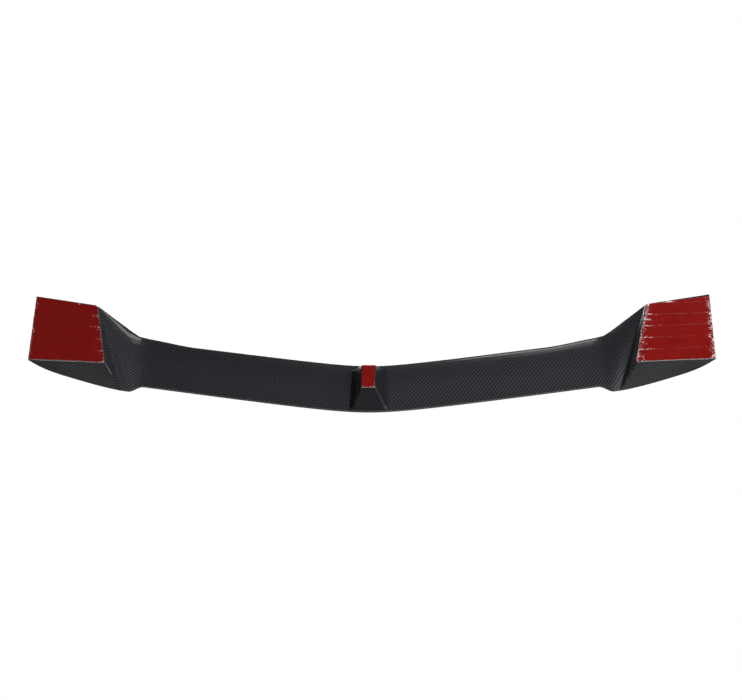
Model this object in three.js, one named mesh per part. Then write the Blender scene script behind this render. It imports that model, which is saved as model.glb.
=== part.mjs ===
// Boot-lid rear wing: a swept, hollow-moulded blade that stands on two wedge feet and a small centre
// post, all stuck down with strips of double-sided foam tape that still wear their red liners.
// Millimetres. +Z up, -Y towards the rear of the car, X across it. The origin is the centre of the
// centre post's sticking face, and every sticking face lies in the plane Z = 0.
import * as THREE from "three";

// ---------------------------------------------------------------- driving dimensions
const span = 1280; // tip to tip
const bladeChord = 93; // leading to trailing edge on the centre line
const leadAheadOfPost = 51; // leading edge ahead of the post face's centre
const leadSweep = 0.143; // forward run of the leading edge per mm of half span
const trailSweep = 0.149; // the same for the trailing edge
const leadApexRound = 60; // how softly each edge turns at the centre line
const trailApexRound = 80;
const bladeHeight = 50; // lowest line of the blade's underside above the lid
const trailKick = 10; // rise of the underside from there to the trailing edge
const bladeThickness = 14; // thickest part of the blade's section
const shoulderThickness = 8; // the same where the blade meets a foot
const trailThickness = 6; // blunt trailing edge
const noseShare = 0.28; // share of the chord taken by the rounded nose

const padWidth = 145; // rear edge of an end foot's sticking face
const padOuterRake = 4; // outboard run of its outer edge from rear to front
const padInnerRake = 28; // outboard run of its inner edge from rear to front
const padRearRake = 7; // forward run of its rear edge from inner to outer corner
const padFrontRake = 21; // the same for its front edge
const wallLean = 21; // how far a foot's inner wall leans inboard at the rear
const rearWallLean = 26; // how far the rear wall leans back at its inner corner
const rearBow = 4.5; // curve of the rear wall's top edge in plan, near the tip
const shoulderWidth = 75; // width of the shoulder where the leading edge drops to the foot
const kneeRise = 7.5; // extra forward run of the leading edge at the shoulder
const stepWidth = 41; // width of the step in the trailing edge beside each foot
const stepDepth = 13.5; // how far the step runs back

const postFaceLength = 47; // sticking face of the centre post, fore and aft
const postFaceWidth = 27;
const postRootFront = 56; // width of the post where it meets the blade, front and rear
const postRootRear = 68;
const postRootLength = 83;

const skin = 1.5; // moulded carbon laminate
const plate = 1.5; // foot base plate
const tapeWidth = 24; // double-sided foam tape
const tapeThickness = 1;
const linerThickness = 0.25;
const tapeGap = 0.5; // between neighbouring strips
const tapeMargin = 0.75; // from a face's edge to the tape
const fullStrips = 5; // whole strips on an end foot, before the tapered front one
const glueGap = 0.3; // clearance between bonded pieces
const foamGap = 1.5; // clearance over the foam block in a foot

// ---------------------------------------------------------------- heights and places they lead to
const tapeBottom = linerThickness;
const faceBottom = linerThickness + tapeThickness;
const plateTop = faceBottom + plate;
const edgeTop = plateTop + glueGap + skin; // upper skin over a foot's thin edges
const noseHeight = bladeHeight + bladeThickness / 2;
const trailHeight = bladeHeight + trailKick + trailThickness / 2;

const swept = (x, sweep, round) => sweep * (Math.hypot(x, round) - round);
const leadY = (x) => leadAheadOfPost + swept(x, leadSweep, leadApexRound);
const trailY = (x) =>
  leadAheadOfPost - bladeChord + swept(x, trailSweep, trailApexRound);
const mix = (a, b, share) => a + (b - a) * share;
const ease = (low, high, value) => THREE.MathUtils.smoothstep(value, low, high);

// Corners of the right-hand foot in plan: A inner rear, B outer rear, C outer front, D inner front.
const tipX = span / 2;
const padOuterX = tipX - padOuterRake;
const padDepth = fullStrips * (tapeWidth + tapeGap) - tapeGap + 2 * tapeMargin;
const wallTopX = padOuterX - padWidth - wallLean;
const wallTopY = trailY(wallTopX) - stepDepth;
const A = new THREE.Vector2(padOuterX - padWidth, wallTopY + rearWallLean);
const B = new THREE.Vector2(padOuterX, A.y + padRearRake);
const D = new THREE.Vector2(A.x + padInnerRake, A.y + padDepth);
const C = new THREE.Vector2(tipX, D.y + padFrontRake);
const kneeX = D.x - shoulderWidth;
const stepX = wallTopX - stepWidth;
const kneeY = leadY(kneeX) + kneeRise;

// ---------------------------------------------------------------- the wing's section, station by station
// A station is a line across the wing from its leading edge to its trailing edge. Stations 0 to 1
// are the blade, 1 to 2 the shoulder, and 2 to 3 the foot, out to the tip.
function station(place) {
  const blade = Math.min(place, 1);
  const shoulder = THREE.MathUtils.clamp(place - 1, 0, 1);
  const foot = THREE.MathUtils.clamp(place - 2, 0, 1);
  const fall = Math.cos((foot * Math.PI) / 2);
  const x = [blade * kneeX, blade * stepX];
  const lead = new THREE.Vector2(
    x[0],
    leadY(x[0]) + kneeRise * ease(0.75, 1, blade),
  );
  const trail = new THREE.Vector2(x[1], trailY(x[1]));
  if (shoulder > 0) {
    lead.lerp(D, shoulder);
    trail.x = mix(stepX, wallTopX, shoulder);
    trail.y = trailY(trail.x) - stepDepth * ease(0, 0.7, shoulder);
  }
  if (foot > 0) {
    lead.lerp(C, foot);
    trail.lerp(B, foot);
    trail.y -= rearBow * Math.sin(Math.PI * foot ** 3);
  }
  return {
    lead,
    trail,
    leadHeight: mix(noseHeight, edgeTop, shoulder),
    trailHeight: mix(edgeTop, trailHeight, fall),
    thickness: mix(bladeThickness, shoulderThickness, shoulder) * fall,
    trailThickness: trailThickness * fall,
    straight: shoulder, // 0: the section kicks up towards the rear, 1: it climbs evenly
  };
}

// A point of the mean surface, and half the wing's thickness there. chord runs 0 to 1, front to rear.
function section(place, chord) {
  const s = station(Math.abs(place));
  const climb = mix(chord * chord, chord, s.straight);
  const nose = Math.min(chord / noseShare, 1);
  const runOut = Math.max((chord - noseShare) / (1 - noseShare), 0);
  const rear = (1 - Math.cos(Math.PI * runOut)) / 2;
  const round = Math.sqrt(1 - (1 - nose) ** 2);
  return {
    x: Math.sign(place) * mix(s.lead.x, s.trail.x, chord),
    y: mix(s.lead.y, s.trail.y, chord),
    mean: mix(s.leadHeight, s.trailHeight, climb),
    half: (round * mix(s.thickness, s.trailThickness, rear)) / 2,
  };
}

// Height of the blade's underside above a point near the centre line.
function underside(x, y) {
  const chord = (leadY(x) - y) / (leadY(x) - trailY(x));
  const at = section(x / kneeX, chord);
  return at.mean - at.half;
}

// ---------------------------------------------------------------- closed meshes
function closedMesh(points, faces) {
  const geometry = new THREE.BufferGeometry();
  geometry.setAttribute(
    "position",
    new THREE.Float32BufferAttribute(points.flat(), 3),
  );
  geometry.setIndex(faces.flat());
  geometry.computeVertexNormals();
  return geometry;
}

// A slab between two grids of points, under[i][j] and over[i][j], with walls round its four sides.
// i runs towards +X and j towards -Y.
function slab(under, over) {
  const rows = under.length;
  const columns = under[0].length;
  const points = [...under.flat(), ...over.flat()];
  const low = (i, j) => i * columns + j;
  const high = (i, j) => rows * columns + low(i, j);
  const faces = [];
  const quad = (a, b, c, d) => faces.push([a, b, c], [a, c, d]);
  for (let i = 0; i < rows - 1; i++)
    for (let j = 0; j < columns - 1; j++) {
      quad(high(i, j), high(i, j + 1), high(i + 1, j + 1), high(i + 1, j));
      quad(low(i, j), low(i + 1, j), low(i + 1, j + 1), low(i, j + 1));
    }
  for (let i = 0; i < rows - 1; i++) {
    quad(low(i, 0), high(i, 0), high(i + 1, 0), low(i + 1, 0));
    const j = columns - 1;
    quad(low(i, j), low(i + 1, j), high(i + 1, j), high(i, j));
  }
  for (let j = 0; j < columns - 1; j++) {
    quad(low(0, j), low(0, j + 1), high(0, j + 1), high(0, j));
    const i = rows - 1;
    quad(low(i, j), high(i, j), high(i, j + 1), low(i, j + 1));
  }
  return closedMesh(points, faces);
}

// A solid through a stack of rings with equally many points, counter-clockwise from above, closed
// by a flat fan at each end.
function ringStack(rings) {
  const count = rings[0].length;
  const points = rings.flat();
  const faces = [];
  for (let r = 0; r < rings.length - 1; r++)
    for (let k = 0; k < count; k++) {
      const next = (k + 1) % count;
      const [a, b] = [r * count + k, r * count + next];
      faces.push([a, b, b + count], [a, b + count, a + count]);
    }
  const last = (rings.length - 1) * count;
  for (let k = 1; k < count - 1; k++) {
    faces.push([0, k + 1, k]);
    faces.push([last, last + k, last + k + 1]);
  }
  return closedMesh(points, faces);
}

// A flat plate of any convex outline in plan, from one height to another.
function flatPlate(outline, bottom, top) {
  const geometry = new THREE.ExtrudeGeometry(new THREE.Shape(outline), {
    depth: top - bottom,
    bevelEnabled: false,
  });
  return geometry.translate(0, 0, bottom);
}

// ---------------------------------------------------------------- finishes
const carbon = new THREE.MeshStandardMaterial({
  color: 0x1b1d20,
  roughness: 0.18,
  metalness: 0.1,
});
const foam = new THREE.MeshStandardMaterial({ color: 0xd9cfae, roughness: 0.9 });
const resin = new THREE.MeshStandardMaterial({ color: 0x23262a, roughness: 0.3 });
const tapeFoam = new THREE.MeshStandardMaterial({ color: 0xbcb9b2, roughness: 0.85 });
const linerFilm = new THREE.MeshStandardMaterial({ color: 0xa01c1c, roughness: 0.3 });

const wing = new THREE.Group();
function add(name, geometry, material) {
  const mesh = new THREE.Mesh(geometry, material);
  mesh.name = name;
  wing.add(mesh);
}

// ---------------------------------------------------------------- stations and chord steps used
const bladePlaces = [0, 0.12, 0.27, 0.42, 0.57, 0.72, 0.82, 0.91];
const shoulderPlaces = [1, 1.2, 1.4, 1.6, 1.8, 1.92];
const footPlaces = [2, 2.15, 2.3, 2.45, 2.6, 2.75, 2.88, 3];
const bothSides = (places) => [
  ...places
    .filter((place) => place > 0)
    .reverse()
    .map((place) => -place),
  ...places,
];
const seamChord = 0.02; // the two skins meet in a resin nose ahead of this
const skinChords = [0.024, 0.06, 0.13, 0.28, 0.45, 0.62, 0.78, 0.9, 1];
const grid = (places, chords, point) =>
  places.map((place) => chords.map((chord) => point(place, chord)));
const inner = (half) => Math.max(half - skin, glueGap / 2);

// ---------------------------------------------------------------- moulded skins
const wingPlaces = bothSides([...bladePlaces, ...shoulderPlaces, ...footPlaces]);
add(
  "upper_skin",
  slab(
    grid(wingPlaces, skinChords, (place, chord) => {
      const at = section(place, chord);
      const overFoot = Math.abs(place) >= 2;
      const height = at.mean + (overFoot ? at.half - skin : inner(at.half));
      return [at.x, at.y, height];
    }),
    grid(wingPlaces, skinChords, (place, chord) => {
      const at = section(place, chord);
      return [at.x, at.y, at.mean + at.half];
    }),
  ),
  carbon,
);

// The lower skin follows the blade's underside and then turns down each foot's inner wall, whose
// lower edge runs along the inner edge of the sticking face.
const wallAcross = skin * Math.hypot(1, wallLean / bladeHeight); // wall thickness measured across
const shoulderSlope = (noseHeight - edgeTop) / shoulderWidth;
function wallFoot(side, chord, inset) {
  return [
    side * (mix(D.x, A.x, chord) + inset),
    mix(D.y, A.y, chord),
    faceBottom,
  ];
}
function lowerSkinLine(place, isInside) {
  const side = Math.sign(place);
  if (Math.abs(place) > 2)
    return skinChords.map((chord) =>
      wallFoot(side, chord, isInside ? wallAcross : 0),
    );
  // Inside the turn, the line is further out by the wall, and lower by what the shoulder falls there.
  const turn = Math.abs(place) === 2 ? wallAcross : 0;
  return skinChords.map((chord) => {
    const at = section(place, chord);
    if (!isInside) return [at.x, at.y, at.mean - at.half];
    const drop = turn * shoulderSlope * (1 - chord) + (turn > 0 ? glueGap : 0);
    return [at.x + side * turn, at.y, at.mean - inner(at.half) - drop];
  });
}
const lowerPlaces = bothSides([...bladePlaces, ...shoulderPlaces, 2, 2.1]);
add(
  "lower_skin",
  slab(
    lowerPlaces.map((place) => lowerSkinLine(place, false)),
    lowerPlaces.map((place) => lowerSkinLine(place, true)),
  ),
  carbon,
);

// ---------------------------------------------------------------- bonds and foam inside the blade
const bladeToWall = bothSides([...bladePlaces, ...shoulderPlaces]);
const around = (sign, half) => (place, chord) => {
  const at = section(place, chord);
  return [at.x, at.y, at.mean + sign * half(at.half)];
};
const betweenSkins = (half) => half - skin - glueGap;
const bondNoseChords = [0.002, 0.008, seamChord];
add(
  "leading_edge_bond",
  slab(
    grid(bladeToWall, bondNoseChords, around(-1, (half) => half)),
    grid(bladeToWall, bondNoseChords, around(1, (half) => half)),
  ),
  resin,
);
const bondTailChords = skinChords.slice(-2);
add(
  "trailing_edge_bond",
  slab(
    grid(bladeToWall, bondTailChords, around(-1, betweenSkins)),
    grid(bladeToWall, bondTailChords, around(1, betweenSkins)),
  ),
  resin,
);

const coreChords = skinChords.slice(2, -2);
const corePlaces = [0.002, ...bladePlaces.slice(1), ...shoulderPlaces.slice(0, 4)];
for (const [name, side] of [
  ["left_blade_core", -1],
  ["right_blade_core", 1],
]) {
  const places = side > 0 ? corePlaces : corePlaces.map((p) => -p).reverse();
  add(
    name,
    slab(
      grid(places, coreChords, around(-1, betweenSkins)),
      grid(places, coreChords, around(1, betweenSkins)),
    ),
    foam,
  );
}

// ---------------------------------------------------------------- feet
const mirrored = (outline, side) =>
  side > 0
    ? outline
    : outline.map((p) => new THREE.Vector2(-p.x, p.y)).reverse();

// Keeps the part of a convex outline where the point, measured from a corner along an inward
// direction, is at least some distance in.
function keepBeyond(outline, corner, inward, distance) {
  const depth = (p) => p.clone().sub(corner).dot(inward) - distance;
  return outline.flatMap((p, k) => {
    const q = outline[(k + 1) % outline.length];
    const [dp, dq] = [depth(p), depth(q)];
    const kept = dp >= 0 ? [p] : [];
    if (dp * dq < 0) kept.push(p.clone().lerp(q, dp / (dp - dq)));
    return kept;
  });
}
function inwardOf(from, to) {
  const along = to.clone().sub(from).normalize();
  return new THREE.Vector2(-along.y, along.x);
}
const padFace = [A, B, C, D]; // counter-clockwise
const [rearIn, outerIn, frontIn, innerIn] = padFace.map((corner, k) =>
  inwardOf(corner, padFace[(k + 1) % 4]),
);

const rearAcross = skin * Math.hypot(1, rearWallLean / bladeHeight);
const plateOutline = keepBeyond(
  keepBeyond(padFace, A, rearIn, rearAcross + glueGap),
  A,
  innerIn,
  wallAcross + glueGap,
);

// The rear wall leans back from the sticking face's rear edge to the upper skin's trailing edge.
const rearWallPlaces = [
  2 + (wallAcross + 3 * glueGap) / padWidth,
  ...footPlaces.slice(1),
];
function rearWallLine(place, forward) {
  const { lead, trail } = station(place);
  const top = section(place, 1 - forward / lead.distanceTo(trail));
  const topHeight = top.mean + top.half - skin - glueGap;
  const along = place - 2;
  return [
    [mix(A.x, B.x, along), mix(A.y, B.y, along) + forward, faceBottom],
    [top.x, top.y, topHeight],
  ];
}

const footCoreSteps = [0.1, 0.3, 0.5, 0.66, 0.8];
const footCoreShares = [0, 0.33, 0.66, 1];
const footCoreFront = 0.22;
const footCoreInset = 6;
function footCoreLine(step, isTop) {
  const { lead, trail } = station(2 + step);
  const rise = trail.clone().sub(lead);
  const toRearEdge = lead.clone().sub(A).dot(rearIn) - footCoreInset;
  const rearChord = -toRearEdge / rise.dot(rearIn);
  return footCoreShares.map((share) => {
    const at = section(2 + step, mix(footCoreFront, rearChord, share));
    const ceiling = at.mean + at.half - skin - foamGap;
    return [at.x, at.y, isTop ? ceiling : plateTop + glueGap];
  });
}

// Point lists for the left side are the right side's mirrored in X and taken in reverse order.
const forSide = (lines, side) =>
  side > 0
    ? lines
    : lines.map((line) => line.map(([x, y, z]) => [-x, y, z])).reverse();

for (const [prefix, side] of [
  ["left", -1],
  ["right", 1],
]) {
  add(
    prefix + "_foot_base_plate",
    flatPlate(mirrored(plateOutline, side), faceBottom, plateTop),
    carbon,
  );
  const wallFace = (forward) =>
    forSide(
      rearWallPlaces.map((place) => rearWallLine(place, forward)),
      side,
    );
  add(
    prefix + "_foot_rear_wall",
    slab(wallFace(0), wallFace(rearAcross)),
    carbon,
  );
  const coreFace = (isTop) =>
    forSide(
      footCoreSteps.map((step) => footCoreLine(step, isTop)),
      side,
    );
  add(prefix + "_foot_core", slab(coreFace(false), coreFace(true)), foam);

  // Strips of tape, from the rear edge forwards; the last one is tapered to the slanted front edge.
  for (let strip = 0; strip <= fullStrips; strip++) {
    const rearOfStrip = tapeMargin + strip * (tapeWidth + tapeGap);
    let outline = keepBeyond(padFace, A, rearIn, rearOfStrip);
    if (strip < fullStrips)
      outline = keepBeyond(
        outline,
        A,
        rearIn.clone().negate(),
        -rearOfStrip - tapeWidth,
      );
    outline = keepBeyond(outline, B, outerIn, tapeMargin);
    outline = keepBeyond(outline, C, frontIn, tapeMargin);
    outline = keepBeyond(outline, D, innerIn, tapeMargin);
    const plan = mirrored(outline, side);
    const label = prefix + "_pad_tape_" + (strip + 1);
    const linerLabel = prefix + "_pad_liner_" + (strip + 1);
    add(label, flatPlate(plan, tapeBottom, faceBottom), tapeFoam);
    add(linerLabel, flatPlate(plan, 0, tapeBottom), linerFilm);
  }
}

// ---------------------------------------------------------------- centre post
// A hollow pylon, open towards the blade. Its rim follows the blade's underside.
const rectangle = (rearWidth, frontWidth, rearY, frontY) => [
  [-rearWidth / 2, rearY],
  [rearWidth / 2, rearY],
  [frontWidth / 2, frontY],
  [-frontWidth / 2, frontY],
];
const sideSteps = 8; // points along each side of a ring
function ring(corners, height) {
  return corners.flatMap(([x, y], k) => {
    const [nextX, nextY] = corners[(k + 1) % corners.length];
    return Array.from({ length: sideSteps }, (_, n) => {
      const px = mix(x, nextX, n / sideSteps);
      const py = mix(y, nextY, n / sideSteps);
      return [px, py, height(px, py)];
    });
  });
}
const postFace = postFaceLength / 2;
const postRootY = postRootLength / 2;
const toBlade = (x, y) => underside(x, y) - 2 * glueGap;
add(
  "post_shell",
  ringStack([
    ring(
      rectangle(postFaceWidth, postFaceWidth, -postFace, postFace),
      () => faceBottom,
    ),
    ring(rectangle(postRootRear, postRootFront, -postRootY, postRootY), toBlade),
    ring(
      rectangle(
        postRootRear - 2 * skin,
        postRootFront - 2 * skin,
        -postRootY + skin,
        postRootY - skin,
      ),
      toBlade,
    ),
    ring(
      rectangle(
        postFaceWidth - 2 * skin,
        postFaceWidth - 2 * skin,
        -postFace + skin,
        postFace - skin,
      ),
      () => faceBottom + skin,
    ),
  ]),
  carbon,
);
const postTape = rectangle(
  tapeWidth,
  tapeWidth,
  -postFace + tapeMargin,
  postFace - tapeMargin,
).map(([x, y]) => new THREE.Vector2(x, y));
add("post_tape", flatPlate(postTape, tapeBottom, faceBottom), tapeFoam);
add("post_liner", flatPlate(postTape, 0, tapeBottom), linerFilm);

export default wing;
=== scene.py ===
# %% [markdown]
# # A carbon boot-lid wing, seen from the side that is stuck down
#
# The real thing is a swept carbon blade with a wedge foot at each end and a small post in the middle.
# Their flat faces carry strips of foam tape under red liner film. Every surface here is a function of
# two parameters, worked out with numpy on a grid, so that one formula gives the blade, the shoulders
# and the feet, as smooth as the render needs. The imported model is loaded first, because its pieces
# say where everything belongs.

import bpy
import numpy as np
from mathutils import Matrix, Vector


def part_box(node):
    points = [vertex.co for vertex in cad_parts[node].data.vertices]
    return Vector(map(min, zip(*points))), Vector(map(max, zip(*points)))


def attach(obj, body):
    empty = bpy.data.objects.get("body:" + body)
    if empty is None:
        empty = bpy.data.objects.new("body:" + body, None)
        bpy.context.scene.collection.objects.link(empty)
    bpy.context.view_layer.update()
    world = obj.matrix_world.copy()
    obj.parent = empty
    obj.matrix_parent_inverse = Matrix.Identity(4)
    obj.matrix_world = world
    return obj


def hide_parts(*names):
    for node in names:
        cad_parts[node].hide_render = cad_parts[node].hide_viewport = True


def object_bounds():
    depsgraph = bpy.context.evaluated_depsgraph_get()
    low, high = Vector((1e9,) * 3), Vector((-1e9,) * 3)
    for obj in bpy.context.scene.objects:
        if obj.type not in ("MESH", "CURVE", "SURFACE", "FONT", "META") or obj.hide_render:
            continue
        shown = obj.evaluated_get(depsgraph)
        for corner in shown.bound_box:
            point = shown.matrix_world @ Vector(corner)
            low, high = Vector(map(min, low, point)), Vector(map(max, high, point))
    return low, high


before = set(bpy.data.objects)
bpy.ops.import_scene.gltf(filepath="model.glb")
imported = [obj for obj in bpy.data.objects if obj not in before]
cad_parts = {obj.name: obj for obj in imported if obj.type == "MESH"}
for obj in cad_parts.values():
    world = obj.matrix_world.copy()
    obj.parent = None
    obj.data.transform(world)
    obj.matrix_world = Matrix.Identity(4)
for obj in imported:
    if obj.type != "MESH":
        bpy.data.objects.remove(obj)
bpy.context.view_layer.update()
scene = bpy.context.scene

# %% [markdown]
# ## Camera and light
#
# The wing is looked at from below and behind, as it lies upside down for its liners to be peeled. The
# camera stands at a given point and is aimed by its angle under the horizon, a small turn and a roll.
#
# Studio light is a white surround and a few soft panels. The surround looks white to the camera, but it
# lights the wing as if it were pale above and dark below, because black carbon under clear coat shows
# mostly what it mirrors. Most panels stand below the floor's level, as the faces to be shown point down.
# Two small ones only draw the glossy lines along moulded edges, and one only fills the shade.

# %% Camera
CAMERA_AT = np.array([-0.082, -1.058, -2.012])
CAMERA_BELOW = np.radians(61.0)
CAMERA_TURN = np.radians(-4.01)
CAMERA_ROLL = np.radians(-0.09)
SENSOR = 36.0
FOCAL = 60.19


def unit(v):
    """The vector divided by its length."""
    return v / np.linalg.norm(v)


def add_camera():
    """The camera's axes: back away from the view, up turned forward and down, right across both."""
    back = np.array(
        [
            np.sin(CAMERA_TURN) * np.cos(CAMERA_BELOW),
            -np.cos(CAMERA_TURN) * np.cos(CAMERA_BELOW),
            -np.sin(CAMERA_BELOW),
        ]
    )
    up = np.array([0.0, np.sin(CAMERA_BELOW), -np.cos(CAMERA_BELOW)])
    up = unit(up - up.dot(back) * back)
    right = np.cross(up, back)
    turned = right * np.cos(CAMERA_ROLL) + up * np.sin(CAMERA_ROLL)
    up = up * np.cos(CAMERA_ROLL) - right * np.sin(CAMERA_ROLL)
    data = bpy.data.cameras.new("camera")
    data.sensor_width = SENSOR
    data.lens = FOCAL
    camera = bpy.data.objects.new("camera", data)
    scene.collection.objects.link(camera)
    rotation = Matrix(np.stack([turned, up, back], axis=1).tolist()).to_4x4()
    camera.matrix_world = Matrix.Translation(CAMERA_AT.tolist()) @ rotation
    scene.camera = camera


add_camera()
scene.view_settings.view_transform = "Standard"
print("camera at", CAMERA_AT, "focal length", FOCAL)


# %% Soft panels
def panel(name, place, target, size, power):
    """A rectangular soft light at a place, turned to face a target. The light is returned."""
    data = bpy.data.lights.new(name, "AREA")
    data.shape = "RECTANGLE"
    data.size, data.size_y = size
    data.energy = power
    lamp = bpy.data.objects.new(name, data)
    scene.collection.objects.link(lamp)
    place = np.array(place, float)
    back = unit(place - np.array(target, float))
    across = unit(np.cross([0.0, 0.0, 1.0], back))
    axes = np.stack([across, np.cross(back, across), back], axis=1)
    lamp.matrix_world = Matrix.Translation(place.tolist()) @ Matrix(axes.tolist()).to_4x4()
    return lamp


SOFT_PANELS = [
    ("light_main_low", (-0.9, -1.9, -2.2), (0.0, 0.05, 0.0), (1.8, 1.0), 74),
    ("light_nose_sheen", (-0.73, 2.06, -0.9), (-0.42, 0.1, 0.05), (1.2, 0.6), 7),
    ("light_right_sheen", (-0.85, 1.95, -1.65), (-0.42, 0.1, 0.05), (0.9, 0.7), 2),
    ("light_far_fillet", (1.1, 1.66, 0.5), (-0.5, 0.1, 0.02), (0.35, 0.35), 6),
    ("light_high_front", (0.8, 1.9, 2.3), (0.0, 0.0, 0.0), (2.4, 1.4), 36),
    ("light_high_side", (-1.9, 0.6, 2.2), (0.0, 0.0, 0.0), (2.0, 1.6), 30),
]
EDGE_PANELS = [
    ("light_corner_line", (-2.37, -0.88, 0.0), (0.48, 0.02, 0.03), (0.25, 0.3), 80),
    ("light_rear_edge", (1.25, -1.97, -1.37), (0.57, 0.03, 0.0), (0.8, 0.12), 25),
]
for spec in SOFT_PANELS:
    panel(*spec)
for spec in EDGE_PANELS:
    panel(*spec).visible_diffuse = False
fill = panel("light_low_fill", (-1.9, 0.3, -1.6), (-0.35, 0.05, 0.0), (0.8, 0.8), 14)
fill.visible_glossy = False
print(len(SOFT_PANELS), "soft panels,", len(EDGE_PANELS), "for edges and a fill")

# %% White surround
SKY_HEIGHTS = (0.1, 1.0)  # of a ray's direction, between which the surround grows paler
SKY_STRENGTHS = (0.06, 0.5)


def white_surround():
    """White to the camera. For light and reflections it climbs by a smooth step of height.

    It runs from dark, near the horizon and below it, to pale overhead.
    """
    world = bpy.data.worlds.new("studio")
    scene.world = world
    world.use_nodes = True
    nodes, links = world.node_tree.nodes, world.node_tree.links
    background = nodes["Background"]
    rays = nodes.new("ShaderNodeLightPath")
    place = nodes.new("ShaderNodeTexCoord")
    apart = nodes.new("ShaderNodeSeparateXYZ")
    climb = nodes.new("ShaderNodeMapRange")
    climb.interpolation_type = "SMOOTHSTEP"
    climb.inputs["From Min"].default_value, climb.inputs["From Max"].default_value = SKY_HEIGHTS
    climb.inputs["To Min"].default_value, climb.inputs["To Max"].default_value = SKY_STRENGTHS
    strength = nodes.new("ShaderNodeMix")
    strength.inputs["B"].default_value = 1.0
    links.new(place.outputs["Generated"], apart.inputs[0])
    links.new(apart.outputs["Z"], climb.inputs["Value"])
    links.new(climb.outputs[0], strength.inputs["A"])
    links.new(rays.outputs["Is Camera Ray"], strength.inputs["Factor"])
    links.new(strength.outputs[0], background.inputs["Strength"])
    background.inputs["Color"].default_value = (1, 1, 1, 1)


white_surround()
print("surround from", SKY_STRENGTHS[0], "to", SKY_STRENGTHS[1])

# %% [markdown]
# ## Writing shaders as sums
#
# A node tree is a formula, so it reads best as one. The class below wraps a node's output and gives
# it the usual operators, each of which adds a Math node.


# %% A socket that can be added, multiplied and compared
class Tree:
    """A material's node tree. node() makes any node, sets it up and connects or fills its inputs."""

    def __init__(self, name):
        self.material = bpy.data.materials.new(name)
        self.material.use_nodes = True
        self.nodes = self.material.node_tree.nodes
        self.links = self.material.node_tree.links
        self.nodes.clear()

    def node(self, kind, settings=None, **inputs):
        made = self.nodes.new("ShaderNode" + kind)
        for key, value in (settings or {}).items():
            setattr(made, key, value)
        for key, value in inputs.items():
            number = key[2:] if key.startswith("in") else key.replace("_", " ")
            socket = made.inputs[int(number) if number.isdigit() else number]
            if isinstance(value, Value):
                self.links.new(value.socket, socket)
            else:
                socket.default_value = value
        return made

    def value(self, kind, output, settings=None, **inputs):
        return Value(self, self.node(kind, settings, **inputs).outputs[output])

    def mix(self, share, low, high):
        """A colour between two colours."""
        settings = {"data_type": "RGBA"}
        made = self.node("Mix", settings, in0=share, in6=low, in7=high)
        return Value(self, made.outputs[2])


class Value:
    """A number in a shader."""

    def __init__(self, tree, socket):
        self.tree, self.socket = tree, socket

    def math(self, operation, *others):
        inputs = {f"in{k}": v for k, v in enumerate([self, *others])}
        return self.tree.value("Math", 0, {"operation": operation}, **inputs)

    def __add__(self, other):
        return self.math("ADD", other)

    def __mul__(self, other):
        return self.math("MULTIPLY", other)

    def __rsub__(self, other):
        return (self * -1.0).math("ADD", other)

    def __lt__(self, other):
        return self.math("LESS_THAN", other)

    def __mod__(self, other):
        return self.math("FLOORED_MODULO", other)

    __radd__ = __add__
    __rmul__ = __mul__


def principled(tree, **inputs):
    """A Principled surface on the tree's output, with the inputs given by name."""
    named = {key.replace("_", " "): value for key, value in inputs.items()}
    shader = tree.node("BsdfPrincipled", None)
    for key, value in named.items():
        if isinstance(value, Value):
            tree.links.new(value.socket, shader.inputs[key])
        else:
            shader.inputs[key].default_value = value
    output = tree.node("OutputMaterial")
    tree.links.new(shader.outputs[0], output.inputs["Surface"])
    return tree.material


def bump(tree, height, distance, strength=1.0):
    """A normal tilted by a height, whose full step stands for a distance in metres."""
    return tree.value("Bump", 0, Height=height, Distance=distance, Strength=strength)


# %% [markdown]
# ## Carbon cloth under clear coat
#
# The cloth is a two-by-two twill: each tow passes over two and under two, and each row is shifted by
# one, which makes the slanting ribs. Two counters give it. One counts tows across the span and one
# along the chord, and their sum, taken in fours, says which tow lies on top. Each tow is crowned across
# and dips at its ends, which the Bump node turns into the shimmer of the fibres. The colour carries
# painted light as well. It is lighter where the warp lies on top and along fibre streaks, a painted
# sheen of the fibres, and it darkens where a tow dips, a painted shade. The clear coat lies smooth over
# that. The counters read the piece's own UV map, which holds metres along the cloth.
#
# One function makes three cloths: the skins', the rear walls', and the post's, which was barely
# polished. The rear walls' cloth is the skins' with less coat, so that it mirrors less light. That is a
# painted shade, which keeps the walls darker than the skins.

# %% Carbon
TOW = 0.00183  # width of one tow
WANDER = 0.5  # of a tow's width, by which the rows wander
FIBRES_ACROSS, FIBRES_ALONG = 9.0, 0.35  # streaks to a tow's width, across it and along it


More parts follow.
